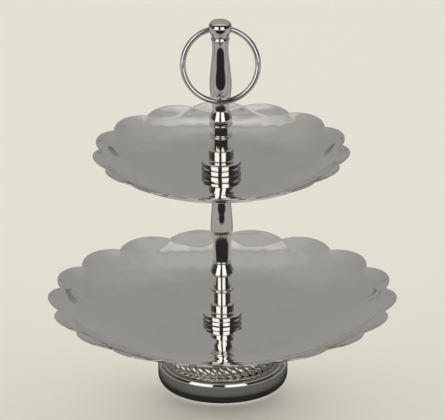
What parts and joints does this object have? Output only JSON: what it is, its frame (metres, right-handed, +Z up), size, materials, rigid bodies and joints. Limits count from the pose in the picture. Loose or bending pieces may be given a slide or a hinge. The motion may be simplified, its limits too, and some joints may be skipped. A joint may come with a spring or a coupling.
{
  "type": "tiered cake stand",
  "caption": "Free-standing two-tier cake stand: scalloped dishes on a turned column over a round foot, with a swinging carrying ring on top.",
  "frame": {"origin": "centre of the foot on the table", "axes": "+Z up along the column; the carrying ring hangs towards -Y and swings about an axis along X"},
  "size_m": [0.2798, 0.2776, 0.3155],
  "materials": {
    "silver_plate": "polished silver plate on sheet brass, mirror bright with fine polishing haze",
    "silver_turned": "polished silver plate on turned brass, dark tarnish in the grooves",
    "silver_foot": "polished silver plate on spun brass, light scuffs",
    "silver_roped": "polished silver plate on a cast roped border, dark between the lobes",
    "silver_wire": "polished silver plate on round brass wire",
    "steel_hardware": "zinc plated steel",
    "felt_pad": "dark green pressed felt",
    "gasket": "thin black fibre washer"
  },
  "bodies": {
    "stand": {"foot_rim": "silver_foot", "foot_shell": "silver_foot", "foot_neck": "silver_foot", "gadroon_border": "silver_roped", "base_washer": "steel_hardware", "base_nut": "steel_hardware", "tie_rod": "steel_hardware", "lower_plate_pad": "felt_pad", "lower_plate": "silver_plate", "lower_gasket": "gasket", "lower_collar": "silver_turned", "lower_plinth": "silver_turned", "lower_ring": "silver_turned", "lower_knop": "silver_turned", "lower_baluster": "silver_turned", "capital": "silver_turned", "upper_plate_pad": "felt_pad", "upper_plate": "silver_plate", "upper_gasket": "gasket", "upper_collar": "silver_turned", "upper_plinth": "silver_turned", "upper_ring": "silver_turned", "upper_knop": "silver_turned", "handle_baluster": "silver_turned", "finial": "silver_turned"},
    "ring": {"lifting_ring": "silver_wire"}
  },
  "joints": [
    {"name": "ring_swing", "type": "hinge", "parent": "stand", "child": "ring", "pos_m": [0, 0, 0.3084], "axis": [-1, 0, 0], "range_deg": [0, 337.9]}
  ]
}
